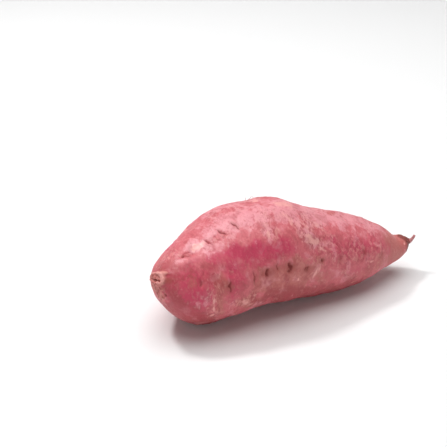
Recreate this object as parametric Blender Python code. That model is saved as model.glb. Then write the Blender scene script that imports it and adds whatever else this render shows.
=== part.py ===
"""Sweet potato: one storage root, whole, lying on two small flat spots that its weight has pressed.

The root lies along X, with its corky stem scar at -X and its thin root tail at +X. The origin is on the
surface that it lies on, under the middle of its bounding box. Metres, +Z up.
"""

import math

import bmesh
import bpy
import numpy as np

# Driving dimensions
LENGTH = 0.186  # along the spine's shadow on the surface, stem scar to tail tip
BELLY_WIDTH = 0.069  # side to side, at the fattest section
BELLY_HEIGHT = 0.065  # underside to top, at the fattest section
TAIL_ROOT = 0.0022  # thickness of the dried tail where it breaks off
NOSE_LENGTH = 0.050  # how far the blunt stem end takes to round off to full girth
TIP_LENGTH = 0.0030  # how far the tail's broken tip takes to round off
PRESS_DEPTH = 0.0013  # how deep its weight has pressed the two spots that it lies on

# The stem scar, a corky button where the root was broken from its vine
SCAR_RADIUS = 0.0066  # centre to the crest of its rim
SCAR_RISE = 0.0008  # rim above the skin
SCAR_DEPTH = 0.0008  # hollow below the rim

# Each upright section from stem end to tail: its share of the length, its width and its height as shares of
# the belly's, how far its middle stands to +Y, and how high its underside stands before the root is laid down.
SECTIONS = (
    (0.000, 0.95, 0.91, -0.0090, 0.0075),
    (0.060, 0.96, 0.93, -0.0060, 0.0014),
    (0.140, 0.97, 0.99, -0.0015, -0.0024),
    (0.250, 0.99, 1.01, 0.0015, 0.0006),
    (0.370, 1.00, 1.00, 0.0025, 0.0036),
    (0.470, 0.98, 0.99, 0.0025, 0.0024),
    (0.570, 0.90, 0.90, 0.0020, 0.0008),
    (0.700, 0.76, 0.76, 0.0000, 0.0003),
    (0.820, 0.55, 0.54, -0.0015, 0.0056),
    (0.870, 0.43, 0.400, -0.0020, 0.0086),
    (0.910, 0.31, 0.270, -0.0025, 0.0114),
    (0.945, 0.21, 0.180, -0.0030, 0.0143),
    (0.975, 0.10, 0.090, -0.0035, 0.0174),
    (1.000, 0.00, 0.000, -0.0050, 0.0225),
)

# Long swells and furrows in the skin: the angle round the section (0 is up, 90 is -Y), the height at its
# middle, how many degrees it spreads, and the shares of the length where it starts and ends.
SWELLS = (
    (28, 0.0010, 24, 0.10, 0.80),
    (62, -0.0009, 18, 0.05, 0.70),
    (100, -0.0010, 16, 0.25, 0.95),
    (132, -0.0016, 24, 0.00, 0.42),
    (150, -0.0008, 28, 0.18, 0.56),
    (205, 0.0008, 26, 0.20, 0.90),
    (262, -0.0012, 20, 0.15, 0.85),
    (310, 0.0010, 24, 0.05, 0.75),
)

# Mesh fineness
SEGMENTS = 44  # points round a section
NOSE_RINGS = 11  # sections over the rounded stem end, past the scar
BODY_RINGS = 38  # sections from there to the tip
TIP_RINGS = 3  # sections over the broken tip

SKIN_COLOUR = (0.50, 0.105, 0.150, 1.0)
SKIN_ROUGHNESS = 0.55

shares, widths, heights, sideways, clearances = np.array(SECTIONS).T


def along(column, share):
    """The value of one column of SECTIONS at a share of the length, on a smooth curve through its rows."""
    slopes = np.gradient(column, shares)
    row = int(np.clip(np.searchsorted(shares, share, side="right") - 1, 0, len(shares) - 2))
    step = shares[row + 1] - shares[row]
    t = (share - shares[row]) / step
    return (
        (2 * t**3 - 3 * t**2 + 1) * column[row]
        + (t**3 - 2 * t**2 + t) * step * slopes[row]
        + (3 * t**2 - 2 * t**3) * column[row + 1]
        + (t**3 - t**2) * step * slopes[row + 1]
    )


def girth(share):
    """Half the width and half the height of the section there, before the ends are rounded off."""
    width = TAIL_ROOT + (BELLY_WIDTH - TAIL_ROOT) * along(widths, share)
    height = TAIL_ROOT + (BELLY_HEIGHT - TAIL_ROOT) * along(heights, share)
    return width / 2, height / 2


def centre(share):
    """The middle of the section there."""
    height = girth(share)[1]
    return np.array((LENGTH * share, along(sideways, share), along(clearances, share) + height))


def rounding(share):
    """How much of its girth a section keeps: both ends close along a quarter of an ellipse."""
    from_stem = share * LENGTH / NOSE_LENGTH
    from_tip = (1 - share) * LENGTH / TIP_LENGTH
    nearest = min(from_stem, from_tip, 1.0)
    return math.sqrt(1 - (1 - nearest) ** 2)


def swell(share, angle):
    """How far the skin stands out from the plain section, from the long swells and furrows."""
    total = 0.0
    for middle, height, spread, start, end in SWELLS:
        if start < share < end:
            turned = (angle - middle + 180) % 360 - 180
            fade = math.sin(math.pi * (share - start) / (end - start)) ** 2
            total += height * fade * math.exp(-((turned / spread) ** 2))
    return total * along(heights, share)


def scar_height(distance):
    """How far the stem scar stands out of the skin, at a distance from its centre: a hollow in a rim."""
    rim = SCAR_RISE * math.exp(-(((distance - SCAR_RADIUS) / (0.35 * SCAR_RADIUS)) ** 2))
    hollow = SCAR_DEPTH * math.exp(-((distance / (0.6 * SCAR_RADIUS)) ** 4))
    return rim - hollow


def skin_point(share, angle):
    """The point on the skin at a share of the length, and at an angle in degrees from up towards -Y."""
    half_width, half_height = girth(share)
    kept = rounding(share)
    turn = math.radians(angle)
    outward = np.array((0.0, -math.sin(turn), math.cos(turn)))
    point = centre(share) + kept * outward * (1.0, half_width, half_height)
    point += outward * swell(share, angle)
    if share * LENGTH < NOSE_LENGTH:
        point[0] -= scar_height(kept * (half_width + half_height) / 2)
    return point


def ring_shares():
    """The shares of the length at which the sections stand, from the stem scar's centre to the tip."""
    nose = NOSE_LENGTH / LENGTH
    tip = TIP_LENGTH / LENGTH
    nose_girth = sum(girth(0.0)) / 2
    places = []
    for part in (0.0, 0.3, 0.6, 0.8, 1.0, 1.25, 1.6):
        sine = min(1.0, part * SCAR_RADIUS / nose_girth)
        places.append(nose * (1 - math.sqrt(1 - sine**2)))
    first_turn = math.acos(1 - places[-1] / nose)
    for ring in range(1, NOSE_RINGS + 1):
        turn = first_turn + (math.pi / 2 - first_turn) * ring / NOSE_RINGS
        places.append(nose * (1 - math.cos(turn)))
    for ring in range(1, BODY_RINGS + 1):
        places.append(nose + (1 - tip - nose) * ring / BODY_RINGS)
    for ring in range(1, TIP_RINGS + 1):
        places.append(1 - tip * (1 - math.sin(math.pi / 2 * ring / TIP_RINGS)))
    return places


def lay_down(points):
    """The points with the root centred over the origin and lying on its two lowest places, pressed flat."""
    laid = points - (points.min(0) + points.max(0)) / 2
    stem_end = laid[:, 0] < 0
    for _ in range(4):
        stem_spot = laid[stem_end][laid[stem_end, 2].argmin()]
        tail_spot = laid[~stem_end][laid[~stem_end, 2].argmin()]
        slope = (tail_spot[2] - stem_spot[2]) / (tail_spot[0] - stem_spot[0])
        laid[:, 2] -= stem_spot[2] + slope * (laid[:, 0] - stem_spot[0])
    laid[:, 2] = np.maximum(laid[:, 2] - PRESS_DEPTH, 0)
    return laid


def root_mesh():
    """A sphere whose parallels become the sections: its poles are the scar's centre and the tip."""
    places = ring_shares()
    parallels = len(places) - 1
    bm = bmesh.new()
    bmesh.ops.create_uvsphere(bm, u_segments=SEGMENTS, v_segments=parallels, radius=1)
    for vertex in bm.verts:
        ring = round(parallels * math.acos(max(-1, min(1, vertex.co.z))) / math.pi)
        angle = math.degrees(math.atan2(vertex.co.y, vertex.co.x))
        vertex.co = skin_point(places[ring], angle)
    for vertex, settled in zip(bm.verts, lay_down(np.array([vertex.co for vertex in bm.verts]))):
        vertex.co = settled
    bmesh.ops.reverse_faces(bm, faces=bm.faces)  # laying the sphere's axis along X mirrored it
    mesh = bpy.data.meshes.new("sweet_potato")
    bm.to_mesh(mesh)
    bm.free()
    mesh.shade_smooth()
    return mesh


def skin_material():
    material = bpy.data.materials.new("pink_skin")
    material.use_nodes = True
    shader = material.node_tree.nodes["Principled BSDF"]
    shader.inputs["Base Color"].default_value = SKIN_COLOUR
    shader.inputs["Roughness"].default_value = SKIN_ROUGHNESS
    shader.inputs["Metallic"].default_value = 0.0
    return material


def main():
    for obj in list(bpy.data.objects):
        bpy.data.objects.remove(obj)
    root = bpy.data.objects.new("sweet_potato", root_mesh())
    root.data.materials.append(skin_material())
    bpy.context.scene.collection.objects.link(root)


main()
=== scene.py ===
"""Sweet potato: pitted pink skin, corky stem scar and dried tail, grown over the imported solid."""

import math

import bmesh
import bpy
import numpy as np
from mathutils import Matrix, Vector
from mathutils.bvhtree import BVHTree


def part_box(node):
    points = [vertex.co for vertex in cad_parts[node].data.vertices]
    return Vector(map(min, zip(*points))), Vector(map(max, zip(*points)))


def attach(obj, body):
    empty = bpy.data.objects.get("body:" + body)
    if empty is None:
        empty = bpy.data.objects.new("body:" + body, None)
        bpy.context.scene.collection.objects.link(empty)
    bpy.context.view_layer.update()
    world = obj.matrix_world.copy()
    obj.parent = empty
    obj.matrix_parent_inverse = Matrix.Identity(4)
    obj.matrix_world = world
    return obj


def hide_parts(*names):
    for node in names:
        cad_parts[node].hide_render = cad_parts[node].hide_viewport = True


bl_info = {
    "name": "Sweet Potato",
    "version": (1, 0, 0),
    "blender": (4, 5, 0),
    "location": "3D View > Sidebar > Sweet Potato",
    "description": "Grows the skin, tail and root hairs of a sweet potato over its packed solid",
    "category": "Object",
}

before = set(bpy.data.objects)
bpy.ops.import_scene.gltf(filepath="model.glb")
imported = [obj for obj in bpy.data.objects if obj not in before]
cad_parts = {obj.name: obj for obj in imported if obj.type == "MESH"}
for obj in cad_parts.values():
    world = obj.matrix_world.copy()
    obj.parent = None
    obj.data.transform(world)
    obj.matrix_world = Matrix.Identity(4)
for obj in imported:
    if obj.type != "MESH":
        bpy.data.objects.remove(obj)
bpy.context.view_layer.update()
LOW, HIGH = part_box("sweet_potato")
LENGTH = HIGH.x - LOW.x
MM = 0.001

# Fineness of the skin: rings from the stem scar to the tail, and points round each.
RINGS = 384
SEGMENTS = 256
# The stations where the root's middle is found: how many, and how far inside each end.
STATIONS = 70
INSET = (0.006, 0.0015)
# Half the root's thickness at its fattest.
HALF_GIRTH = 0.033
# A mark fades out between these distances from its middle, so that it never reaches the far side, in mm.
FADE = (30, 20)
# How many waves are summed to make a noise.
WAVES = 48

# The stage, in metres: the flat floor, the wall that sweeps up round it as radius and height, and the height
# from which it is wall. Then each light's diameter and place; both point at the origin.
FLOOR_RADIUS = 1.8
WALL = ((2.3, 0.03), (2.7, 0.16), (3.0, 0.45), (3.15, 0.9), (3.2, 1.6))
WALL_FROM = 0.1
OVERHEAD_LIGHT = (2.2, (0.0, 0.1, 2.0))
KEY_LIGHT = (0.18, (-0.35, 0.46, 1.02))

# Places on the root are a share of its length from the stem end, and degrees round it: 0 is up, 90 is -Y.

# Root scars, where fine roots grew in rows: share, degrees, slit length, width and depth in mm, darkness, and
# how many degrees the slit leans from straight round the root.
SEEN_SCARS = (
    (0.277, 19, 8.0, 1.00, 0.7, 0.85, -26),
    (0.262, 23, 2.6, 0.60, 0.4, 0.40, -20),
    (0.228, 20, 8.4, 1.00, 0.8, 0.80, -32),
    (0.179, 22, 7.8, 0.85, 0.7, 0.75, -30),
    (0.201, 19, 3.2, 0.60, 0.4, 0.50, -34),
    (0.210, 27, 3.0, 0.55, 0.4, 0.45, -34),
    (0.195, 26, 2.4, 0.50, 0.3, 0.40, -34),
    (0.160, 26, 2.4, 0.60, 0.4, 0.40, -20),
    (0.120, 63, 5.8, 1.8, 0.9, 0.50, 4),
    (0.135, 50, 8.0, 1.2, 0.5, 0.30, 6),
    (0.208, 79, 7.2, 1.4, 0.8, 0.85, 4),
    (0.291, 81, 9.5, 1.1, 0.6, 0.65, 0),
    (0.337, 79, 5.2, 2.5, 1.1, 0.95, 4),
    (0.374, 77, 5.0, 1.3, 0.6, 0.60, 6),
    (0.419, 80, 6.4, 2.4, 1.3, 1.00, 0),
    (0.484, 85, 4.4, 2.4, 0.8, 0.75, 8),
    (0.547, 74, 2.6, 1.4, 1.0, 0.80, 0),
    (0.619, 75, 5.0, 2.0, 0.6, 0.45, 6),
    (0.724, 68, 7.0, 2.4, 0.6, 0.50, 4),
    (0.801, 79, 4.4, 2.2, 0.5, 0.38, 0),
    (0.409, 8, 4.6, 0.7, 0.5, 0.40, -22),
    (0.518, 19, 4.4, 0.8, 0.6, 0.50, -25),
    (0.585, 34, 2.4, 0.7, 0.4, 0.35, -20),
    (0.660, 14, 3.0, 0.7, 0.4, 0.35, -25),
    (0.012, 95, 1.6, 1.0, 0.5, 0.60, 0),
    (0.690, 30, 2.2, 0.8, 0.4, 0.30, -10),
)
# Root hairs on the upper edge: share, degrees, length in mm; and how many more grow on the far side.
SEEN_HAIRS = ((0.388, -24, 2.4), (0.398, -26, 3.0), (0.404, -25, 1.8), (0.384, -27, 1.4))
MORE_HAIRS = 12
# Dots in the cork below the stem scar: mm to the right of its centre and above it, size in mm, darkness.
SCAR_DOTS = ((1.8, -6.1, 1.0, 0.8), (8.9, -6.2, 1.1, 0.8), (4.5, -10.5, 0.9, 0.5), (-5, -7, 1.0, 0.5))
# The rows that run along the rest of the root: degrees, first and last share, how many scars.
SCAR_ROWS = (
    (148, 0.10, 0.84, 11),
    (202, 0.16, 0.88, 9),
    (258, 0.07, 0.80, 13),
    (312, 0.12, 0.86, 10),
)
# Patches of colour and wear, with painted highlight and shade among them, that show from the front: share,
# degrees, size along and round the root in mm, strength, and for some a lean in degrees.
PATCHES = {
    "blush": (  # deeper, magenta skin
        (0.205, 44, 9, 4, 0.45), (0.25, 48, 10, 5, 0.75), (0.31, 54, 11, 6, 1.0), (0.365, 59, 11, 5, 0.8),
        (0.44, 60, 9, 5, 0.35), (0.225, 62, 9, 7, 0.8), (0.33, 66, 9, 5, 0.6), (0.14, 58, 6, 9, 0.6),
        (0.6, 48, 10, 5, 0.5), (0.64, 62, 12, 8, 0.55), (0.74, 56, 12, 9, 0.6), (0.8, 62, 9, 6, 0.5),
        (0.69, 90, 12, 7, 0.4), (0.2, 88, 7, 8, 0.5), (0.06, 45, 6, 4, 0.5), (0.33, 20, 5, 4, 0.4),
        (0.455, 24, 5, 6, 0.35), (0.08, 50, 8, 7, 0.4), (0.045, 30, 6, 5, 0.4), (0.088, 37, 5, 3, 0.5),
        (0.128, 34, 5, 3, 0.5), (0.235, 78, 9, 8, 0.6), (0.375, 62, 9, 5, 0.7), (0.415, 52, 7, 5, 0.5),
        (0.525, 66, 5, 4, 0.4), (0.845, 74, 7, 8, 0.4), (0.04, 55, 9, 10, 0.7), (0.03, 22, 6, 6, 0.4),
        (0.068, 60, 6, 6, 0.5), (0.012, 95, 7, 7, 0.4), (0.06, 84, 10, 9, 0.6), (0.062, 106, 10, 8, 1.0),
        (0.098, 84, 9, 10, 0.7), (0.135, 84, 6, 8, 0.4),
    ),
    "bloom_and_highlight": (  # pale, dusty skin, and painted highlight
        # The first three and the sixth are painted highlights, on the shoulder and by the bud; the pale
        # patches along the top are partly painted light.
        (0.15, 17, 6, 4.5, 1.0), (0.145, 16, 4, 3, 1.0), (0.136, 9, 6, 5, 0.7), (0.2, 38, 5, 3, 0.5),
        (0.19, 30, 6, 3, 0.6), (0.084, 21, 4.0, 2.2, 0.9), (0.225, 14, 16, 8, 0.7), (0.29, 8, 14, 9, 0.8),
        (0.36, 16, 12, 9, 0.7), (0.366, 42, 3.2, 6, 0.9), (0.385, 36, 4, 3, 0.7), (0.485, 42, 4, 7, 0.8),
        (0.52, 56, 9, 3.5, 0.9), (0.5, 50, 5, 3, 0.8), (0.435, 12, 14, 9, 1.0), (0.47, 26, 11, 6, 0.7),
        (0.385, 26, 6, 6, 0.5), (0.428, 27, 7, 5, 0.6), (0.098, 76, 4, 4, 0.3), (0.092, 88, 4, 3, 0.4),
        (0.134, 92, 4, 6, 0.45), (0.312, 119, 3, 2, 0.5), (0.52, 2, 12, 6, 0.5), (0.59, 10, 8, 6, 0.5),
        (0.495, 0, 14, 9, 0.8), (0.56, 12, 18, 10, 0.9), (0.545, 30, 7, 5, 0.5), (0.64, 16, 16, 7, 0.6),
        (0.74, 8, 20, 9, 0.8), (0.82, 18, 10, 6, 0.5), (0.33, 330, 34, 16, 0.5), (0.62, 335, 34, 14, 0.5),
    ),
    "tan": (  # stained skin
        (0.25, 103, 5.0, 4.6, 1.0), (0.284, 115, 5.6, 3.8, 0.9), (0.318, 109, 3.5, 1.2, 0.8),
        (0.35, 103, 4.5, 1.2, 0.7), (0.405, 104, 8, 1.4, 0.6), (0.365, 96, 13, 9, 0.8),
        (0.42, 100, 12, 8, 0.5), (0.43, 100, 18, 9, 0.8), (0.33, 86, 11, 8, 0.8), (0.42, 82, 10, 8, 0.7),
        (0.5, 84, 10, 7, 0.6), (0.57, 96, 12, 7, 0.5), (0.72, 100, 14, 7, 0.4), (0.8, 84, 10, 9, 0.5),
        (0.85, 40, 8, 8, 0.5), (0.172, 92, 4, 14, 0.9), (0.19, 70, 3, 8, 0.6), (0.09, 58, 4, 5, 0.5),
        (0.56, 30, 7, 5, 0.5), (0.68, 356, 20, 7, 0.6), (0.05, 10, 7, 6, 0.3), (0.9, 100, 12, 10, 0.5),
        (0.45, 96, 12, 8, 0.6),
    ),
    "scuff_and_highlight": (  # rubbed spots and scratches, and painted highlights
        # The first three are painted highlights, on the shoulder and by the bud.
        (0.15, 18, 4.4, 2.8, 0.9, -12), (0.14, 15, 2.6, 2.2, 0.8), (0.086, 21, 3.0, 1.2, 0.4),
        (0.151, 88, 0.8, 3.4, 0.8), (0.152, 98, 0.9, 2.4, 1.0), (0.149, 109, 1.1, 1.1, 0.9),
        (0.133, 95, 1.6, 1.3, 0.6), (0.449, 96, 1.1, 1.6, 0.9), (0.518, 92, 1.4, 5.0, 0.9, 25),
        (0.535, 86, 1.2, 3.0, 0.6, 15), (0.756, 83, 2.2, 0.8, 0.7), (0.69, 116, 2.4, 0.9, 0.6),
        (0.551, 62, 3.6, 1.0, 0.6, 30), (0.94, 62, 1.1, 1.4, 0.9), (0.395, 70, 1.0, 3.0, 0.5),
        (0.3, 100, 2.0, 1.0, 0.5), (0.366, 44, 1.4, 3.4, 0.7, 10), (0.53, 54, 5.0, 2.0, 0.85, 10),
        (0.512, 34, 3.0, 4.0, 0.45, 15), (0.495, 55, 3.0, 1.6, 0.5), (0.465, 4, 7, 5, 0.55),
        (0.437, 22, 5, 4, 0.45), (0.505, -4, 8, 5, 0.5), (0.458, 33, 2.4, 4.5, 0.6, -10),
        (0.562, 30, 4.0, 2.2, 0.45, 20), (0.258, 107, 4.0, 2.4, 0.6), (0.5, 48, 2.6, 1.2, 0.7, 20),
        (0.252, 102, 1.8, 1.6, 0.75), (0.284, 114, 2.8, 0.9, 0.6, -10), (0.34, 108, 5.0, 0.5, 0.45),
        (0.392, 104, 5.0, 0.5, 0.45),
    ),
    "worn": (  # mottled, flaking skin
        (0.38, 40, 8, 9, 0.6), (0.5, 42, 11, 11, 1.0), (0.58, 52, 9, 8, 0.7), (0.43, 15, 12, 6, 0.3),
        (0.56, 15, 12, 7, 0.35), (0.16, 86, 5, 15, 0.9), (0.22, 26, 9, 5, 0.5), (0.33, 84, 9, 7, 0.5),
        (0.47, 88, 14, 8, 0.5), (0.69, 66, 17, 9, 0.8), (0.79, 70, 8, 9, 0.5), (0.25, 104, 8, 5, 0.7),
        (0.05, 55, 6, 6, 0.5), (0.05, 355, 9, 9, 0.6), (0.3, 350, 20, 7, 0.5),
    ),
    "calm": (  # smooth skin
        (0.075, 85, 13, 20, 1.0), (0.05, 45, 12, 10, 0.9), (0.27, 50, 20, 6, 0.9), (0.38, 60, 12, 6, 0.7),
        (0.146, 17, 7, 5, 1.0), (0.43, 100, 22, 9, 0.7), (0.88, 80, 14, 14, 0.9), (0.56, 96, 12, 7, 0.5),
        (0.33, 350, 26, 10, 0.5), (0.7, 0, 26, 8, 0.5),
    ),
    "wax": (  # shiny skin
        (0.146, 17, 6.0, 4.4, 1.0), (0.084, 21, 4, 2.5, 0.6), (0.24, 12, 16, 8, 0.3),
    ),
    "dull_red_and_shade": (  # dull red skin, and painted shade on the underside
        # Those at 100 to 135 degrees darken the underside: painted shade.
        (0.06, 106, 11, 9, 0.85), (0.05, 130, 16, 10, 0.9), (0.052, 32, 8, 7, 0.7), (0.03, 60, 7, 8, 0.6),
        (0.1, 110, 9, 6, 0.6), (0.143, 61, 6, 6, 0.7), (0.127, 33, 4, 3, 0.4), (0.194, 7, 6, 4, 0.4),
        (0.02, 8, 5, 6, 0.45), (0.305, 64, 6, 4, 0.35), (0.335, 90, 6, 4, 0.4), (0.35, 109, 9, 6, 1.0),
        (0.396, 114, 13, 8, 1.0), (0.335, 86, 5, 3, 0.4), (0.388, 64, 5, 4, 0.35), (0.1, 40, 5, 4, 0.3),
        (0.345, 64, 4, 4, 0.35), (0.39, 68, 5, 4, 0.4), (0.25, 82, 7, 6, 0.3), (0.635, 117, 12, 5, 0.7),
        (0.46, 124, 22, 11, 1.0), (0.64, 134, 26, 9, 0.9), (0.1, 128, 18, 10, 0.7), (0.26, 132, 18, 8, 0.5),
        (0.015, 340, 9, 12, 0.45), (0.045, 16, 8, 6, 0.5),
    ),
}
# Patches scattered over the rest, in the order that they are drawn: mask, how many, and each number's range.
WORN_PATCHES = ("worn", 22, (0.05, 0.9), (130, 345), (6, 16), (5, 11), (0.4, 1.0), (-20, 20))
SCATTERED_PATCHES = (
    ("scuff_and_highlight", 46, (0.06, 0.86), (135, 352), (0.7, 2.2), (0.8, 3.6), (0.3, 0.8), (-30, 30)),
    ("tan", 20, (0.08, 0.86), (140, 345), (4, 12), (3, 8), (0.3, 0.8), (-30, 30)),
    ("blush", 24, (0.05, 0.9), (130, 350), (5, 16), (4, 9), (0.4, 0.9), (-20, 20)),
    ("bloom_and_highlight", 14, (0.10, 0.85), (235, 350), (5, 14), (3, 8), (0.4, 0.9), (-20, 20)),
)
# Broad rises and dips of the outline: share, degrees, size along and round the root, and height, in mm.
SWELLS = (
    (0.285, 335, 12, 12, 0.7),
    (0.385, 335, 10, 10, -0.6),
    (0.49, 335, 14, 14, 1.6),
    (0.56, 335, 6, 10, 0.7),
    (0.60, 335, 11, 11, -0.9),
    (0.715, 335, 13, 12, 1.2),
    (0.865, 335, 9, 9, 1.5),
    (0.79, 142, 14, 9, -1.9),
    (0.10, 135, 8, 8, -0.7),
    (0.27, 130, 8, 8, 0.6),
    (0.43, 128, 9, 8, 0.8),
    (0.540, 144, 18, 9, -1.1),
    (0.22, 150, 14, 9, -0.8),
)


# --- meshes and objects ---


def mesh_from(bm, name):
    """A smooth mesh of the shape that was built up in bm."""
    mesh = bpy.data.meshes.new(name)
    bm.to_mesh(mesh)
    bm.free()
    mesh.shade_smooth()
    return mesh


def add_object(name, data):
    made = bpy.data.objects.new(name, data)
    bpy.context.scene.collection.objects.link(made)
    return made


# --- surface grid ---


def solid_tree():
    """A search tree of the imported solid, on a merged copy of its mesh."""
    bm = bmesh.new()
    bm.from_mesh(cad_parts["sweet_potato"].data)
    bmesh.ops.remove_doubles(bm, verts=bm.verts, dist=1e-6)
    tree = BVHTree.FromBMesh(bm)
    bm.free()
    return tree


def smooth_step(edge0, edge1, x):
    t = np.clip((x - edge0) / (edge1 - edge0), 0, 1)
    return t * t * (3 - 2 * t)


def blur(grid, rings, segments):
    """Gaussian blur of a grid of skin values, across the poles and round the root; sizes in grid steps."""
    pad = 3 * rings + 1
    half = SEGMENTS // 2
    before = np.roll(grid[1 : pad + 1][::-1], half, axis=1)
    after = np.roll(grid[-pad - 1 : -1][::-1], half, axis=1)
    tall = np.concatenate([before, grid, after])
    kernel = np.exp(-0.5 * (np.arange(-pad, pad + 1) / rings) ** 2)
    kernel /= kernel.sum()
    out = sum(w * tall[k : k + len(grid)] for k, w in enumerate(kernel))
    waves = np.fft.rfftfreq(SEGMENTS) * 2 * np.pi
    spectrum = np.fft.rfft(out, axis=1) * np.exp(-0.5 * (waves * segments) ** 2)
    return np.fft.irfft(spectrum, SEGMENTS, axis=1)


class Skin:
    """The skin as a grid of points, rings from stem scar to tail by points round each, with its relief."""

    def __init__(self, sizes):
        self.sizes = sizes
        self.tree = solid_tree()
        self.find_middle()
        self.cast()
        self.relief = np.zeros((RINGS + 1, SEGMENTS))
        self.masks = {}
        self.ragged = np.clip(self.noise(2, 1.6, 1.8), -1.5, 1.5)
        self.wander = np.clip(self.noise(6, 6.0, 6.0), -1.8, 1.8)

    def hit(self, origin, direction):
        return self.tree.ray_cast(Vector(origin), Vector(direction))[0]

    def find_middle(self):
        """The middle of the section at stations along the root."""
        self.stations = np.linspace(LOW.x + INSET[0], HIGH.x - INSET[1], STATIONS)
        middles = []
        y = 0.0
        for x in self.stations:
            for _ in range(2):
                top = self.hit((x, y, 1), (0, 0, -1))
                bottom = self.hit((x, y, -1), (0, 0, 1))
                z = (top.z + bottom.z) / 2
                near = self.hit((x, -1, z), (0, 1, 0))
                far = self.hit((x, 1, z), (0, -1, 0))
                y = (near.y + far.y) / 2
            middles.append((y, z))
        self.middles = np.array(middles)

    def middle(self, x):
        """The middle of the section at x, for an array of x."""
        y = np.interp(x, self.stations, self.middles[:, 0])
        z = np.interp(x, self.stations, self.middles[:, 1])
        return np.stack([np.asarray(x, float), y, z], -1)

    def cast(self):
        """Casts rays outwards at the solid: a fan over the blunt stem end, then square to the root."""
        sizes = self.sizes
        focus = self.middle(LOW.x + sizes.nose_reach)
        crown = np.array((LOW.x + 0.001, sizes.scar_side, sizes.scar_height))
        pole = crown - focus
        pole /= np.linalg.norm(pole)
        fan_length = math.pi / 4 * (np.linalg.norm(crown - focus) + HALF_GIRTH)
        fan = int(round(RINGS * fan_length / (fan_length + HIGH.x - focus[0])))
        ring = np.arange(RINGS + 1)
        polar = np.minimum(ring / fan, 1) * math.pi / 2
        along = np.clip((ring - fan) / (RINGS - fan), 0, 1)
        centres = self.middle(focus[0] + along * (HIGH.x - 0.0006 - focus[0]))
        turned = smooth_step(0, 0.35, along)[:, None]
        axes = -pole * (1 - turned) + np.array((1.0, 0, 0)) * turned
        axes /= np.linalg.norm(axes, axis=1)[:, None]
        ups = np.array((0, 0, 1.0)) - axes * axes[:, 2:3]
        ups /= np.linalg.norm(ups, axis=1)[:, None]
        sides = np.cross(axes, ups)
        turn = np.arange(SEGMENTS) * 2 * math.pi / SEGMENTS
        flat = ups[:, None] * np.cos(turn)[:, None] + sides[:, None] * np.sin(turn)[:, None]
        rays = flat * np.sin(polar)[:, None, None] - axes[:, None] * np.cos(polar)[:, None, None]
        reach = np.zeros((RINGS + 1, SEGMENTS))
        for r in range(RINGS + 1):
            for s in range(SEGMENTS):
                point = self.hit(centres[r], rays[r, s])
                reach[r, s] = (point - Vector(centres[r])).length
        reach = blur(reach, 5, 3.5)
        self.points = centres[:, None] + rays * reach[..., None]
        for end in (0, -1):
            self.points[end] = self.points[end].mean(0)
        self.draw_out_tail()
        self.find_normals()
        centre = self.middle(self.points[..., 0])
        out = self.points - centre
        self.share = (self.points[..., 0] - LOW.x) / LENGTH
        self.degrees = np.degrees(np.arctan2(-out[..., 1], out[..., 2]))
        self.radius = np.hypot(out[..., 1], out[..., 2])

    def draw_out_tail(self):
        """Tapers the tail's end to a beak that its wisp grows from, behind a saddle in its back."""
        sizes = self.sizes
        start = LOW.x + sizes.beak_start * LENGTH
        x, y, z = (self.points[..., axis].copy() for axis in range(3))
        past = np.clip((x - start) / (HIGH.x - start), 0, 1)
        middle = self.middle(x)
        narrow = 1 - (1 - sizes.beak_narrow) * past**1.3
        back = smooth_step(-0.001, 0.003, z - middle[..., 2])
        from_saddle = (x - LOW.x) / LENGTH - sizes.saddle_place
        saddle = sizes.saddle_depth * np.exp(-((from_saddle / 0.022) ** 2))
        crest = 0.95 * sizes.saddle_depth * np.exp(-(((from_saddle - 0.042) / 0.016) ** 2))
        self.points[..., 0] = x - sizes.beak_short * past**1.5
        self.points[..., 1] = middle[..., 1] + (y - middle[..., 1]) * narrow
        rise = sizes.beak_rise * (1 - back) * past**1.5
        self.points[..., 2] = middle[..., 2] + (z - middle[..., 2]) * narrow
        self.points[..., 2] += back * (crest - saddle) + rise

    def find_normals(self):
        lengthways = np.gradient(self.points, axis=0)
        around = np.roll(self.points, -1, axis=1) - np.roll(self.points, 1, axis=1)
        normals = np.cross(around, lengthways)
        normals /= np.maximum(np.linalg.norm(normals, axis=-1), 1e-12)[..., None]
        for end, beside in ((0, 2), (1, 2), (-1, -3), (-2, -3)):
            normals[end] = normals[beside].mean(0)
        normals /= np.linalg.norm(normals, axis=-1)[..., None]
        self.normals = normals

    def noise(self, seed, along, around):
        """Smooth noise through the root, of unit spread; the sizes of its grains in mm."""
        picks = np.random.default_rng(seed)
        heads = picks.standard_normal((WAVES, 3))
        heads *= (picks.uniform(0.6, 1.4, WAVES) / np.linalg.norm(heads, axis=1))[:, None]
        waves = heads * math.pi / np.array((along, around, around)) / MM
        starts = picks.uniform(0, 2 * math.pi, WAVES)
        return np.cos(self.points @ waves.T + starts).sum(-1) * math.sqrt(2 / WAVES)

    def local(self, share, degrees, tilt=0.0):
        """Distances in mm from a place on the skin: lengthways and round the root."""
        turned = (self.degrees - degrees + 180) % 360 - 180
        gap = ((self.share - share) * LENGTH) ** 2 + (self.radius * np.radians(turned)) ** 2
        place = np.unravel_index(gap.argmin(), gap.shape)
        normal = self.normals[place]
        lengthways = np.array((1.0, 0, 0)) - normal * normal[0]
        lengthways /= np.linalg.norm(lengthways)
        around = np.cross(lengthways, normal)
        lean = math.radians(tilt)
        first = lengthways * math.cos(lean) + around * math.sin(lean)
        second = around * math.cos(lean) - lengthways * math.sin(lean)
        offset = (self.points - self.points[place]) / MM
        near = smooth_step(*FADE, np.linalg.norm(offset, axis=-1)) * (self.normals @ normal > 0)
        return offset @ first, offset @ second, near

    def paint(self, mask, amount):
        """Lays a mask over what that mask already holds."""
        held = self.masks.get(mask, np.zeros_like(self.relief))
        self.masks[mask] = 1 - (1 - held) * (1 - np.clip(amount, 0, 1))

    def patch(self, mask, share, degrees, along, around, strength, tilt=0.0):
        a, b, near = self.local(share, degrees, tilt)
        away = ((a / along) ** 2 + (b / around) ** 2) * np.exp(0.45 * self.wander + 0.25 * self.ragged)
        self.paint(mask, strength * np.exp(-(away**1.2)) * near)

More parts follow.
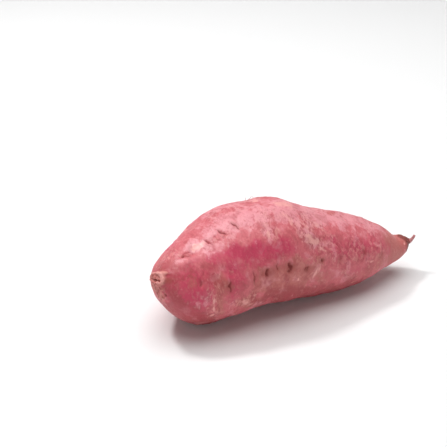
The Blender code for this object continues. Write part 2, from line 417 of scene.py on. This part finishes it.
    def root_scar(self, share, degrees, length, width, depth, dark, tilt=0.0):
        """A slit across the root in a shallow dimple, with soft lips on both sides."""
        a, b, near = self.local(share, degrees, tilt)
        wobble = 0.22 * width * (np.sin(b * 1.1 + share * 40) + self.ragged)
        across = np.abs(a + wobble) / (0.52 * width * (1 + 0.30 * self.ragged))
        over = np.abs(b) / (0.52 * length)
        slit = np.exp(-(np.abs(across) ** 1.8) - over**4) * near
        oval = np.hypot(a / (1.5 * width), b / (0.70 * length))
        lips = np.exp(-(((oval - 1.0) / 0.45) ** 2)) * near
        dimple = np.exp(-(np.hypot(a / (2.2 * width + 1.2), b / (0.70 * length + 1.0)) ** 2)) * near
        self.relief -= MM * depth * self.sizes.pit_depth * (slit - 0.16 * lips + 0.42 * dimple)
        self.paint("pit", dark * slit)
        self.paint("halo", 0.9 * dark * min(1.0, width / 1.4) ** 2 * dimple**1.4)

    def swell(self, share, degrees, along, around, height):
        """A broad rise at a place on the skin; sizes and height in mm."""
        a, b, near = self.local(share, degrees)
        self.relief += MM * height * np.exp(-((a / along) ** 2) - (b / around) ** 2) * near

    def lifted(self):
        """The points with the relief on, none of them below the surface that the root lies on."""
        points = self.points + self.normals * self.relief[..., None]
        for pole in (0, -1):
            points[pole] = points[pole].mean(0)
        plain = self.points[..., 2]
        lifted = smooth_step(0.0001, 0.0012, plain)
        points[..., 2] = np.maximum(plain * (1 - lifted) + points[..., 2] * lifted, 0)
        return points

    def build(self, name):
        """A sphere whose points are moved onto the skin, with the masks as attributes."""
        bm = bmesh.new()
        bmesh.ops.create_uvsphere(bm, u_segments=SEGMENTS, v_segments=RINGS, radius=1)
        bmesh.ops.reverse_faces(bm, faces=bm.faces)
        mesh = mesh_from(bm, name)
        ball = np.zeros(len(mesh.vertices) * 3)
        mesh.vertices.foreach_get("co", ball)
        ball = ball.reshape(-1, 3)
        ring = np.rint(RINGS * np.arccos(np.clip(ball[:, 2], -1, 1)) / math.pi).astype(int)
        turn = np.arctan2(ball[:, 1], ball[:, 0]) * SEGMENTS / (2 * math.pi)
        segment = np.rint(turn).astype(int) % SEGMENTS
        mesh.vertices.foreach_set("co", self.lifted()[ring, segment].ravel())
        for mask, values in self.masks.items():
            held = mesh.attributes.new(mask, "FLOAT", "POINT")
            held.data.foreach_set("value", values[ring, segment].astype(np.float32))
        mesh.update()
        return add_object(name, mesh)


# --- relief and colouring ---


def add_swells(skin):
    """Uneven growth: broad lumps, furrows along the root and fine creases round it, in patches."""
    sizes = skin.sizes
    flank = 1 - smooth_step(0.90, 0.985, skin.share)
    skin.relief += sizes.lump_height * skin.noise(3, 17, 13) * flank
    skin.relief += 0.5 * sizes.lump_height * skin.noise(4, 6, 7) * flank
    skin.relief += sizes.furrow_height * skin.noise(5, 40, 6) * flank
    for swell in SWELLS:
        skin.swell(*swell)
    ease = np.clip(skin.noise(8, 14, 12), 0, 1.5)
    creases = skin.noise(11, 1.4, 6) + 0.6 * skin.noise(12, 2.6, 9)
    skin.relief += sizes.crease_height * creases * (0.35 + ease) * flank
    skin.relief += 0.7 * sizes.crease_height * skin.noise(14, 1.3, 1.6) * flank


def add_root_scars(skin):
    for scar in SEEN_SCARS:
        skin.root_scar(*scar)
    picks = np.random.default_rng(21)
    for degrees, first, last, count in SCAR_ROWS:
        for k in range(count):
            share = first + (last - first) * (k + picks.uniform(-0.3, 0.3)) / (count - 1)
            thin = 0.55 + 0.45 * math.sin(math.pi * min(1, share / 0.9))
            skin.root_scar(
                share,
                degrees + picks.uniform(-7, 7),
                picks.uniform(2.4, 6.0) * thin,
                picks.uniform(0.9, 1.9),
                picks.uniform(0.6, 1.4) * thin,
                picks.uniform(0.45, 1.0),
            )


def add_stem_scar(skin):
    """The corky curl where the root broke from its vine, a petal of bark over it and rough cork below."""
    sizes = skin.sizes
    normal = skin.normals[0, 0]
    up = np.array((0, 0, 1.0)) - normal * normal[2]
    up /= np.linalg.norm(up)
    right = np.cross(up, normal)
    offset = (skin.points - skin.points[0, 0]) / MM
    u, v = offset @ right, offset @ up
    near = smooth_step(*FADE, np.linalg.norm(offset, axis=-1)) * (skin.share < 0.2)

    def spot(at_u, at_v, wide, high, lean=0.0, square=1.0):
        """1 at a place by the scar, and falling to 0 round it; in mm."""
        cos, sin = math.cos(math.radians(lean)), math.sin(math.radians(lean))
        across = ((u - at_u) * cos + (v - at_v) * sin) / wide
        over = ((v - at_v) * cos - (u - at_u) * sin) / high
        return np.exp(-((across**2 + over**2) ** square)) * near

    grit = np.clip(skin.noise(33, 1.7, 1.7), -1.5, 1.5)
    wave = np.clip(skin.noise(34, 4, 4), -1.5, 1.5)
    cos, sin = math.cos(math.radians(13)), math.sin(math.radians(13))
    across, over = (u * cos + v * sin) / 6.0, (v * cos - u * sin) / 3.4
    ring = np.hypot(across, over) * (1 + 0.07 * wave)
    lap = (np.arctan2(over, across) / (2 * math.pi) + 0.08) % 1.0
    curl = 1.02 - 0.30 * lap
    rim = np.exp(-(((ring - curl) / 0.20) ** 2)) * near
    groove = np.exp(-(((ring - curl + 0.36) / 0.13) ** 2)) * near
    crevice = np.exp(-(((v + 0.8 - 0.3 * u + 0.35 * wave) / 0.55) ** 2) - (u / 5.0) ** 4) * near
    button = np.exp(-((ring / 1.1) ** 6)) * near
    petal = spot(3.4, 5.0, 2.7, 1.3, 25, 1.4)
    below = spot(2.4, -7.2, 6.8, 6.8, 0, 1.6)
    skin.relief += sizes.scar_rise * (rim + 0.9 * petal)
    skin.relief -= sizes.scar_rise * (0.9 * crevice + 0.6 * groove)
    skin.relief += 0.25 * sizes.scar_rise * grit * np.clip(button + below, 0, 1)
    skin.relief += 0.45 * sizes.scar_rise * button + 0.7 * MM * spot(-6.5, -5.0, 5.5, 8.5)
    skin.paint("cork", 0.9 * np.exp(-((ring / 1.3) ** 6)) * near)
    skin.paint("cork", 0.95 * petal)
    skin.paint("cork", 0.6 * spot(-4.0, -7.0, 4.0, 4.0, 0, 1.6))
    skin.paint("cork", 0.80 * below + 0.30 * below * grit)
    # Paler along the rim's upper right half: rubbed cork, and painted highlight on the raised rim.
    skin.paint("scuff_and_highlight", 0.95 * rim * smooth_step(-0.9, 0.2, across + over) + 0.45 * petal)
    skin.paint("pit", 0.60 * crevice * (0.8 + 0.4 * grit) + 0.30 * groove * button)
    skin.paint("halo", np.clip(0.9 * below * grit, 0, 1) + 0.5 * button * np.clip(grit, 0, 1))
    # Painted shade: darker brown beside and above the raised petal.
    skin.paint("halo", 0.85 * spot(8.0, 2.7, 2.4, 2.2) + 0.6 * spot(-1.0, 5.6, 3.2, 1.0, 20))
    for at_u, at_v, wide, dark in SCAR_DOTS:
        dot = spot(at_u, at_v, wide, wide)
        skin.relief -= 0.5 * MM * dot
        skin.paint("pit", dark * dot)


def add_bud(skin):
    """A small bud sunk in the shoulder, under a curved lid."""
    a, b, near = skin.local(0.106, 19)
    oval = np.hypot(a / 2.5, (b - 0.2 * a) / 1.9)
    lid = np.exp(-(((oval - 1) / 0.24) ** 2)) * smooth_step(1.2, -0.6, b - 0.27 * a) * near
    corner = np.exp(-(((a + 2.7) / 1.1) ** 2) - ((b + 0.4) / 1.0) ** 2) * near
    dent = np.exp(-((a / 7.0) ** 2) - ((b / 4.8) ** 2)) * near
    bulge = np.exp(-((oval / 0.7) ** 4)) * near
    skin.relief += MM * (0.7 * bulge - 0.9 * dent - 0.5 * lid - 0.8 * corner)
    # The lid's crease and corner are darkened, partly painted shade, and the darkening inside the dent is
    # painted shade.
    skin.paint("pit", 0.30 * lid * (0.7 + 0.5 * skin.ragged) + 0.8 * corner)
    skin.paint("pit", 0.5 * np.exp(-(((a - 3.0) / 0.8) ** 2) - ((b - 0.5) / 0.7) ** 2) * near)
    skin.paint("halo", 0.45 * dent * smooth_step(1.5, 0.6, oval))
    a, b, near = skin.local(0.086, 24)
    skin.relief += 0.7 * MM * np.exp(-((a / 6.0) ** 2) - ((b / 3.5) ** 2)) * near


def add_tail(skin):
    """The tail end dries to a brown, ridged beak."""
    upper = np.cos(np.radians(skin.degrees - 10))
    dry = smooth_step(0.950, 0.966, skin.share + 0.004 * skin.noise(41, 4, 4) + 0.016 * upper)
    ridges = skin.noise(42, 12, 1.4)
    skin.relief -= 0.22 * MM * dry * np.clip(ridges, -1, 1.5) * smooth_step(0.0006, 0.003, skin.radius)
    skin.paint("dried", dry)
    skin.paint("tan", 0.8 * smooth_step(0.82, 0.95, skin.share + 0.02 * skin.noise(43, 8, 8)))


def scatter(skin, picks, mask, count, *ranges):
    """Patches at random places, each of their numbers drawn from its own range."""
    for _ in range(count):
        skin.patch(mask, *(picks.uniform(low, high) for low, high in ranges))


def add_colour_patches(skin):
    """Where the skin is deeper, paler, scuffed, stained, worn or smooth, with painted highlights and painted
    shade on the underside.
    """
    for mask, rows in PATCHES.items():
        for row in rows:
            skin.patch(mask, *row)
    scatter(skin, np.random.default_rng(70), *WORN_PATCHES)
    picks = np.random.default_rng(77)
    for row in SCATTERED_PATCHES:
        scatter(skin, picks, *row)
    # Painted shade: the skin darkens close to the floor, over the underside.
    under = smooth_step(0.015, 0.002, skin.points[..., 2] + 0.0012 * skin.noise(51, 9, 7))
    skin.paint("dull_red_and_shade", 0.90 * under)


# --- materials ---


def both_sides(operation):
    """A sum with the value on its left, and the same sum with the value on its right."""
    return (
        lambda value, other: value.finish.math(operation, value, other),
        lambda value, other: value.finish.math(operation, other, value),
    )


class Value:
    """A number that varies over a surface. Arithmetic on it adds Math nodes."""

    def __init__(self, finish, socket):
        self.finish = finish
        self.socket = socket

    __add__, __radd__ = both_sides("ADD")
    __sub__, __rsub__ = both_sides("SUBTRACT")
    __mul__, __rmul__ = both_sides("MULTIPLY")


class Finish:
    """A material under construction, with the colour laid on it so far."""

    def __init__(self, name):
        self.material = bpy.data.materials.new(name)
        self.material.use_nodes = True
        self.tree = self.material.node_tree
        self.shader = self.tree.nodes["Principled BSDF"]
        self.colour = None

    def node(self, kind, settings=None, **sockets):
        """A node with its settings made, then its sockets fed; in their names _ stands for a space."""
        made = self.tree.nodes.new(kind)
        for setting, value in (settings or {}).items():
            setattr(made, setting, value)
        for socket, value in sockets.items():
            wanted = socket.replace("_", " ")
            self.feed(next(s for s in made.inputs if s.enabled and s.name == wanted), value)
        return made

    def feed(self, socket, value):
        if isinstance(value, Value):
            value = value.socket
        if isinstance(value, bpy.types.NodeSocket):
            self.tree.links.new(value, socket)
        elif socket.type == "RGBA":
            socket.default_value = (*value[:3], 1)
        else:
            socket.default_value = value

    def math(self, operation, *values, clamp=False):
        made = self.node("ShaderNodeMath", {"operation": operation, "use_clamp": clamp})
        for socket, value in zip(made.inputs, values):
            self.feed(socket, value)
        return Value(self, made.outputs[0])

    def clamp(self, value):
        return self.math("ADD", value, 0.0, clamp=True)

    def between(self, value, low, high):
        """0 below low, 1 above high, and smooth between."""
        made = self.node(
            "ShaderNodeMapRange",
            {"interpolation_type": "SMOOTHSTEP"},
            Value=value,
            From_Min=low,
            From_Max=high,
        )
        return Value(self, made.outputs["Result"])

    def mask(self, name):
        made = self.node("ShaderNodeAttribute", {"attribute_name": name})
        return Value(self, made.outputs["Fac"])

    def grain(self, size, detail=2.0, roughness=0.5, distortion=0.0):
        """Noise on the object's own coordinates; the size of its grains in mm along X, Y and Z."""
        place = self.node("ShaderNodeTexCoord").outputs["Object"]
        scale = tuple(1000.0 / mm for mm in size)
        made = self.node("ShaderNodeMapping", None, Vector=place, Scale=scale)
        noise = self.node(
            "ShaderNodeTexNoise",
            None,
            Vector=made.outputs[0],
            Scale=1.0,
            Detail=detail,
            Roughness=roughness,
            Distortion=distortion,
        )
        return Value(self, noise.outputs["Fac"])

    def cells(self, size, warp=0.0):
        """Scattered cells: the distance to each one's middle, and a random number for it; sizes in mm."""
        place = self.node("ShaderNodeTexCoord").outputs["Object"]
        if warp:
            drift = self.node("ShaderNodeTexNoise", None, Vector=place, Scale=500.0 / size[1], Detail=2.0)
            moved = self.node("ShaderNodeVectorMath", {"operation": "MULTIPLY_ADD"})
            for socket, value in zip(moved.inputs, (drift.outputs["Color"], (warp * MM,) * 3, place)):
                self.feed(socket, value)
            place = moved.outputs[0]
        scale = tuple(1000.0 / mm for mm in size)
        made = self.node("ShaderNodeMapping", None, Vector=place, Scale=scale)
        cell = self.node("ShaderNodeTexVoronoi", {"feature": "F1"}, Vector=made.outputs[0], Scale=1.0)
        split = self.node("ShaderNodeSeparateColor", None, Color=cell.outputs["Color"])
        return Value(self, cell.outputs["Distance"]), Value(self, split.outputs[0])

    def cover(self, factor, colour):
        """Lays a colour over the colour so far."""
        made = self.node("ShaderNodeMix", {"data_type": "RGBA"}, Factor=factor, A=self.colour, B=colour)
        self.colour = next(s for s in made.outputs if s.enabled)

    def set(self, socket, value):
        """Gives one of the shader's sockets a value or a link."""
        self.feed(self.shader.inputs[socket], value)

    def bump(self, height, distance, strength=1.0, normal=None):
        made = self.node("ShaderNodeBump", None, Height=height, Distance=distance, Strength=strength)
        if normal is not None:
            self.feed(made.inputs["Normal"], normal)
        return made.outputs[0]


def skin_finish(colours):
    """The root's skin: colours laid over each other by the masks, each with its edge broken up by grain."""
    finish = Finish("pink_root_skin")
    streak = finish.grain((1.0, 4.2, 4.2), 3, 0.6, 1.6)
    fine = finish.grain((0.6, 0.9, 0.9), 3, 0.65)
    blotch = finish.grain((4.5, 6.5, 6.5), 5, 0.65, 0.7)
    mottle = finish.grain((2.0, 2.8, 2.8), 4, 0.7, 1.0)
    cloud = finish.grain((16, 18, 18), 3, 0.5)
    patchy = finish.between(finish.grain((11, 12, 12), 3, 0.6, 0.5), 0.46, 0.60)
    fleck = finish.grain((1.1, 1.6, 1.6), 3, 0.7)
    speck, _ = finish.cells((3.6, 3.6, 3.6))
    _, flake = finish.cells((1.5, 2.4, 2.4), 2.5)
    _, scale = finish.cells((3.4, 4.6, 4.6), 5.0)
    drift = finish.grain((8, 10, 10), 3, 0.55, 0.6)
    ragged = (streak - 0.5) * 0.4 + (blotch - 0.5) * 1.1 + (mottle - 0.5) * 0.9 + (flake - 0.5) * 0.16

    def where(mask, breakup, low, high):
        """Where a mask is, its edge broken up by grain."""
        return finish.between(finish.mask(mask) + breakup, low, high)

    broad = (cloud - 0.5) * 0.6
    drift = drift + (blotch - 0.5) * 0.4
    flake = flake + (fine - 0.5) * 0.3
    worn = where("worn", (blotch - 0.5) * 1.2 + (cloud - 0.5) * 0.5, 0.05, 0.70)
    busy = 1.0 - finish.mask("calm") * 0.65
    rub = (0.54 + worn * 0.50) * busy
    flaky = (0.15 + worn * 0.85) * busy
    flakes = finish.between(flake, 0.58, 0.80) * flaky
    lined = worn * patchy
    spots = mottle + (fleck - 0.5) * 0.5 + (scale - 0.5) * 0.10
    cork = where("cork", ragged * 0.5, 0.25, 0.70)
    dried = finish.clamp(finish.mask("dried") + (fine - 0.5) * 0.4)
    pit = where("pit", (fine - 0.5) * 0.5, 0.18, 0.80)
    finish.colour = colours.pink
    for colour, amount in (
        (colours.magenta, where("blush", ragged * 0.7 + broad, 0.10, 0.85)),
        (colours.tan, where("tan", ragged * 0.9 + broad, 0.15, 0.80) * 0.8),
        # Dull red: random mottles, and painted shade over the underside.
        (colours.dull_red_and_shade, where("dull_red_and_shade", ragged * 0.6, 0.1, 0.9) * 0.85),
        # Pale bloom, partly painted light along the top, and painted highlights on the shoulder and by the
        # bud.
        (colours.pale, where("bloom_and_highlight", ragged * 1.2 + (scale - 0.5) * 0.25, 0.15, 0.95) * 0.75),
        (colours.dull_red_and_shade, finish.between(drift, 0.48, 0.34) * busy * 0.42),
        (colours.pale, finish.between(drift, 0.53, 0.68) * busy * 0.42),
        (colours.dull_red_and_shade, finish.between(spots, 0.47, 0.34) * rub * 0.54),
        (colours.scuff_and_highlight, flakes * 0.34),
        (colours.dull_red_and_shade, finish.between(flake, 0.34, 0.14) * flaky * 0.38),
        (colours.scuff_and_highlight, finish.between(mottle + (fleck - 0.5) * 0.7, 0.56, 0.72) * rub * 0.47),
        (colours.scuff_and_highlight, finish.between(streak, 0.54, 0.68) * lined * 0.42),
        (colours.dull_red_and_shade, finish.between(streak, 0.46, 0.33) * lined * 0.42),
        (colours.cork, cork * 0.85),
        # Rubbed spots, among them painted highlights on the shoulder and by the bud.
        (colours.scuff_and_highlight, where("scuff_and_highlight", ragged * 0.4, 0.25, 0.75) * 0.85),
        (colours.halo, where("halo", ragged * 0.6, 0.08, 0.95) * 0.85),
        (colours.halo, finish.between(speck, 0.17, 0.09) * finish.between(fleck, 0.52, 0.60) * 0.55),
        (colours.dried, dried * 0.95),
        (colours.pit, pit * 0.9),
    ):
        finish.cover(amount, colour)
    finish.set("Base Color", finish.colour)

    rough = 0.50 + (fine - 0.5) * 0.30 + cork * 0.16 + pit * 0.2 + dried * 0.15
    rough = rough - finish.mask("wax") * 0.24 + flakes * 0.1
    finish.set("Roughness", finish.clamp(rough))
    coarse = (blotch - 0.5) * 0.6 + (mottle - 0.5) * (0.35 + worn * 0.6)
    coarse = coarse + (streak - 0.5) * (0.1 + patchy * worn)
    normal = finish.bump(coarse, 0.0006, 0.6)
    normal = finish.bump(fine + fleck * 0.8 + flakes * 0.3 + cork * fine * 1.5, 0.00025, 0.5, normal)
    finish.set("Normal", normal)
    finish.set("Specular IOR Level", 0.5)
    return finish.material


def strand_finish(name, tint, deeper):
    """Dry root bark of one colour, darkened in streaks by another."""
    finish = Finish(name)
    grain = finish.grain((0.9, 0.5, 0.5), 3, 0.6)
    finish.colour = tint
    finish.cover(finish.between(grain, 0.42, 0.72) * 0.6, deeper)
    finish.set("Base Color", finish.colour)
    finish.set("Roughness", 0.60 + (grain - 0.5) * 0.3)
    finish.set("Normal", finish.bump(grain, 0.0002, 0.5))
    return finish.material


def stage_finish(name, colour, glow):
    """Plain matt paint, for a wall with a little light of its own."""
    finish = Finish(name)
    finish.set("Emission Color", (1, 1, 1))
    finish.set("Emission Strength", glow)
    finish.set("Base Color", colour)
    finish.set("Roughness", 0.9)
    finish.set("Specular IOR Level", 0.1)
    return finish.material


# --- rootlets ---


def extrude_rim(bm, edges):
    """Extrudes a rim of edges in place, and returns the new rim's edges and points."""
    made = bmesh.ops.extrude_edge_only(bm, edges=edges)["geom"]
    rim = [g for g in made if isinstance(g, bmesh.types.BMEdge)]
    return rim, [g for g in made if isinstance(g, bmesh.types.BMVert)]


def grow_rootlet(bm, path, radius, tip_radius, sides):
    """A tapered strand swept along a path, closed at both ends."""
    path = [Vector(p) for p in path]
    last = len(path) - 1
    for k, point in enumerate(path):
        ahead = path[min(k + 1, last)] - path[max(k - 1, 0)]
        thick = tip_radius + (radius - tip_radius) * (1 - k / last) ** 2
        place = Matrix.Translation(point) @ ahead.to_track_quat("Z", "Y").to_matrix().to_4x4()
        if k == 0:
            made = bmesh.ops.create_circle(bm, cap_ends=True, segments=sides, radius=thick, matrix=place)
            edges = [e for e in bm.edges if all(v in made["verts"] for v in e.verts)]
        else:
            edges, fresh = extrude_rim(bm, edges)
            for vertex in fresh:
                local = before.inverted() @ vertex.co
                vertex.co = place @ (local * (thick / thick_before))
        before, thick_before = place, thick
    bmesh.ops.contextual_create(bm, geom=edges)


def finish_strands(bm, name, material):
    """Makes the strands a piece on the root."""
    bmesh.ops.recalc_face_normals(bm, faces=bm.faces)
    mesh = mesh_from(bm, name)
    mesh.materials.append(material)
    piece = add_object(name, mesh)
    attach(piece, "root")


# --- settings ---


def colour_property(name, description, default):
    return bpy.props.FloatVectorProperty(
        name=name, description=description, default=default, subtype="COLOR", size=3, min=0, max=1
    )


def number_property(name, description, default, **limits):
    return bpy.props.FloatProperty(name=name, description=description, default=default, **limits)


def length_property(name, description, default):
    return number_property(name, description, default, unit="LENGTH", precision=5)


class SkinSizes(bpy.types.PropertyGroup):
    """Sizes of the skin's shapes and relief."""

    nose_reach: length_property("Nose reach", "From the stem end to where its rays fan out", 0.045)
    scar_side: length_property("Scar side", "Where the stem scar's centre stands along Y", -0.0125)
    scar_height: length_property("Scar height", "How high the stem scar's centre stands", 0.0410)
    scar_rise: length_property("Scar rise", "Height of the stem scar's corky rim", 0.0011)
    beak_start: number_property(
        "Beak start", "Share of the length where the beak starts", 0.950, min=0.8, max=0.99
    )
    beak_narrow: number_property(
        "Beak narrowing", "Share of its thickness that the beak's end keeps", 0.24, min=0.1
    )
    beak_short: length_property("Beak shortening", "How far short the beak stops", 0.0010)
    beak_rise: length_property("Beak rise", "How far the beak's underside rises at its end", 0.0011)
    saddle_place: number_property(
        "Saddle place", "Share of the length where the tail's back dips", 0.925, min=0.8, max=1
    )
    saddle_depth: length_property("Saddle depth", "How far the tail's back dips", 0.0014)
    lump_height: length_property("Lump height", "Spread of the broad lumps", 0.00028)
    furrow_height: length_property("Furrow height", "Spread of the furrows along the root", 0.00016)
    crease_height: length_property("Crease height", "Spread of the fine creases round the root", 0.00004)
    pit_depth: number_property("Pit depth", "How deep the root scars are, 1 as grown", 1.0, min=0)


class SkinColours(bpy.types.PropertyGroup):
    """Colours of the skin and the strands."""

    pink: colour_property("Pink", "Plain skin", (0.615, 0.122, 0.148))
    magenta: colour_property("Magenta", "Deeper skin", (0.585, 0.046, 0.106))
    # Pale for the bloom, and painted highlight where the bloom mask is on the shoulder.
    pale: colour_property("Pale pink", "Skin with a dusty bloom", (0.80, 0.320, 0.365))
    tan: colour_property("Tan", "Stained skin", (0.50, 0.136, 0.113))
    # Dull red for random mottles, and painted shade on the underside.
    dull_red_and_shade: colour_property("Dusk red", "Skin that lay in the soil", (0.38, 0.048, 0.058))
    cork: colour_property("Cork", "The stem scar's bark", (0.64, 0.228, 0.200))
    # Pale for rubbed spots, and painted highlight on the shoulder, by the bud and on the stem scar's rim.
    scuff_and_highlight: colour_property("Scuff", "Where the outer skin is rubbed off", (0.84, 0.370, 0.340))
    halo: colour_property("Halo", "Browned skin round the root scars", (0.36, 0.066, 0.056))
    dried: colour_property("Dried root", "The dried tail", (0.22, 0.038, 0.030))
    pit: colour_property("Pit", "The floor of a root scar", (0.22, 0.022, 0.021))
    wisp: colour_property("Wisp", "The wisp at the tail and the root hairs", (0.56, 0.230, 0.235))


class StageSizes(bpy.types.PropertyGroup):
    """The floor, the lights and the camera."""

    azimuth: number_property("Azimuth", "Camera's turn about Z", math.radians(-24), subtype="ANGLE")
    elevation: number_property("Elevation", "Camera's angle above level", math.radians(28), subtype="ANGLE")
    distance: length_property("Distance", "From the camera to the point that it looks at", 0.55)
    look_at: bpy.props.FloatVectorProperty(
        name="Look at",
        description="The point at the middle of the view",
        default=(-0.0331, 0.0244, 0.0465),
        unit="LENGTH",
    )
    lens: number_property("Lens", "Focal length in mm", 69.75)
    floor: colour_property("Floor", "Colour of the floor", (0.86, 0.86, 0.86))
    wall_glow: number_property("Wall glow", "Brightness of the wall", 0.28)
    overhead: number_property("Overhead", "Power of the overhead light in W", 37.5)
    key: number_property("Key", "Power of the soft light behind in W", 5.5)
    fill: number_property("Fill", "Brightness of the room", 0.07)


# --- operators ---


class GrowSkin(bpy.types.Operator):
    """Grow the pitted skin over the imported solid, with its stem scar and tail"""

    bl_idname = "sweet_potato.grow_skin"
    bl_label = "Grow Skin"

    def execute(self, context):
        skin = Skin(context.scene.potato_sizes)
        add_swells(skin)
        add_root_scars(skin)
        add_stem_scar(skin)
        add_bud(skin)
        add_tail(skin)
        add_colour_patches(skin)
        piece = skin.build("potato_skin")
        piece.data.materials.append(skin_finish(context.scene.potato_colours))
        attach(piece, "root")
        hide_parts("sweet_potato")
        return {"FINISHED"}


class GrowTail(bpy.types.Operator):
    """Grow the thin dried wisp that curls up at the tail"""

    bl_idname = "sweet_potato.grow_tail"
    bl_label = "Grow Tail Wisp"

    def execute(self, context):
        colours = context.scene.potato_colours
        skin = bpy.data.objects["potato_skin"].data
        tip = max((v.co for v in skin.vertices), key=lambda co: co.x)
        path = []
        for t in np.linspace(0, 1, 12):
            forward = 0.0046 * t - 0.0008 * t**3 - 0.0024
            upward = 0.0040 * t**1.7 - 0.0010
            path.append((tip.x + forward, tip.y - 0.0006 * t, tip.z + upward))
        bm = bmesh.new()
        grow_rootlet(bm, path, 0.00190, 0.00085, 10)
        finish_strands(bm, "tail_wisp", strand_finish("tail_wisp_bark", colours.wisp, colours.dried))
        return {"FINISHED"}


class GrowHairs(bpy.types.Operator):
    """Grow the few fine root hairs left on the skin"""

    bl_idname = "sweet_potato.grow_hairs"
    bl_label = "Grow Root Hairs"

    def execute(self, context):
        skin = bpy.data.objects["potato_skin"].data
        bm = bmesh.new()
        bm.from_mesh(skin)
        tree = BVHTree.FromBMesh(bm)
        bm.free()
        picks = np.random.default_rng(5)
        hairs = list(SEEN_HAIRS)
        for _ in range(MORE_HAIRS):
            hairs.append((picks.uniform(0.12, 0.85), picks.uniform(240, 320), picks.uniform(1.0, 2.4)))
        bm = bmesh.new()
        for share, degrees, length in hairs:
            turn = math.radians(degrees)
            outward = Vector((0, -math.sin(turn), math.cos(turn)))
            middle = Vector((LOW.x + share * LENGTH, 0, 0.030))
            point = tree.ray_cast(middle + outward * 0.1, -outward)[0]
            bend = Vector(picks.uniform(-1, 1, 3)) * 0.0012
            lean = outward + Vector((picks.uniform(-0.8, 0.8), 0, picks.uniform(0, 0.3)))
            steps = np.linspace(0, 1, 7).tolist()
            path = [point + lean * (length * MM * t - 0.0004) + bend * t * t for t in steps]
            grow_rootlet(bm, path, 0.00020, 0.00010, 5)
        colours = context.scene.potato_colours
        finish_strands(bm, "root_hairs", strand_finish("root_hair", colours.wisp, colours.halo))
        return {"FINISHED"}


class SetStage(bpy.types.Operator):
    """Set the floor, the soft lights and the camera"""

    bl_idname = "sweet_potato.set_stage"
    bl_label = "Set Stage"

    def execute(self, context):
        scene = context.scene
        sizes = scene.potato_stage
        bm = bmesh.new()
        bmesh.ops.create_circle(bm, cap_ends=True, segments=96, radius=FLOOR_RADIUS)
        edges = list(bm.edges)
        for radius, height in WALL:
            edges, fresh = extrude_rim(bm, edges)
            for vertex in fresh:
                vertex.co = (vertex.co.xy.normalized() * radius).to_3d() + Vector((0, 0, height))
        bmesh.ops.recalc_face_normals(bm, faces=bm.faces)
        for face in bm.faces:
            face.material_index = int(face.calc_center_median().z > WALL_FROM)
        mesh = mesh_from(bm, "studio_floor")
        mesh.materials.append(stage_finish("pale_floor", sizes.floor, 0.0))
        mesh.materials.append(stage_finish("pale_wall", sizes.floor, sizes.wall_glow))
        floor = add_object("studio_floor", mesh)

        for name, power, size, place in (
            ("overhead_light", sizes.overhead, *OVERHEAD_LIGHT),
            ("key_light", sizes.key, *KEY_LIGHT),
        ):
            lamp = bpy.data.lights.new(name, "AREA")
            lamp.shape = "DISK"
            lamp.size = size
            lamp.energy = power
            light = add_object(name, lamp)
            light.location = place
            light.rotation_euler = (-Vector(place)).to_track_quat("-Z", "Y").to_euler()

        world = bpy.data.worlds.new("room")
        world.use_nodes = True
        room = world.node_tree.nodes["Background"]
        room.inputs["Color"].default_value = (1, 1, 1, 1)
        room.inputs["Strength"].default_value = sizes.fill
        scene.world = world
        scene.view_settings.view_transform = "Standard"

        azimuth, elevation = sizes.azimuth, sizes.elevation
        back = Vector((
            math.sin(azimuth) * math.cos(elevation),
            -math.cos(azimuth) * math.cos(elevation),
            math.sin(elevation),
        ))
        lens = bpy.data.cameras.new("camera")
        lens.lens = sizes.lens
        lens.sensor_width = 36
        lens.clip_start = 0.01
        camera = add_object("camera", lens)
        camera.location = Vector(sizes.look_at) + back * sizes.distance
        camera.rotation_euler = back.to_track_quat("Z", "Y").to_euler()
        scene.camera = camera
        return {"FINISHED"}


class SweetPotatoPanel(bpy.types.Panel):
    """The sizes, the colours and a button for each step."""

    bl_idname = "VIEW3D_PT_sweet_potato"
    bl_label = "Sweet Potato"
    bl_space_type = "VIEW_3D"
    bl_region_type = "UI"
    bl_category = "Sweet Potato"

    def draw(self, context):
        for group in (context.scene.potato_sizes, context.scene.potato_colours, context.scene.potato_stage):
            box = self.layout.box()
            for name in group.__annotations__:
                box.prop(group, name)
        for operator in OPERATORS:
            self.layout.operator(operator.bl_idname)


OPERATORS = (GrowSkin, GrowTail, GrowHairs, SetStage)
CLASSES = (SkinSizes, SkinColours, StageSizes, *OPERATORS, SweetPotatoPanel)


def register():
    for cls in CLASSES:
        bpy.utils.register_class(cls)
    bpy.types.Scene.potato_sizes = bpy.props.PointerProperty(type=SkinSizes)
    bpy.types.Scene.potato_colours = bpy.props.PointerProperty(type=SkinColours)
    bpy.types.Scene.potato_stage = bpy.props.PointerProperty(type=StageSizes)


def unregister():
    del bpy.types.Scene.potato_sizes
    del bpy.types.Scene.potato_colours
    del bpy.types.Scene.potato_stage
    for cls in reversed(CLASSES):
        bpy.utils.unregister_class(cls)


def main():
    register()
    bpy.ops.sweet_potato.grow_skin()
    bpy.ops.sweet_potato.grow_tail()
    bpy.ops.sweet_potato.grow_hairs()
    bpy.ops.sweet_potato.set_stage()


if __name__ == "__main__":
    main()
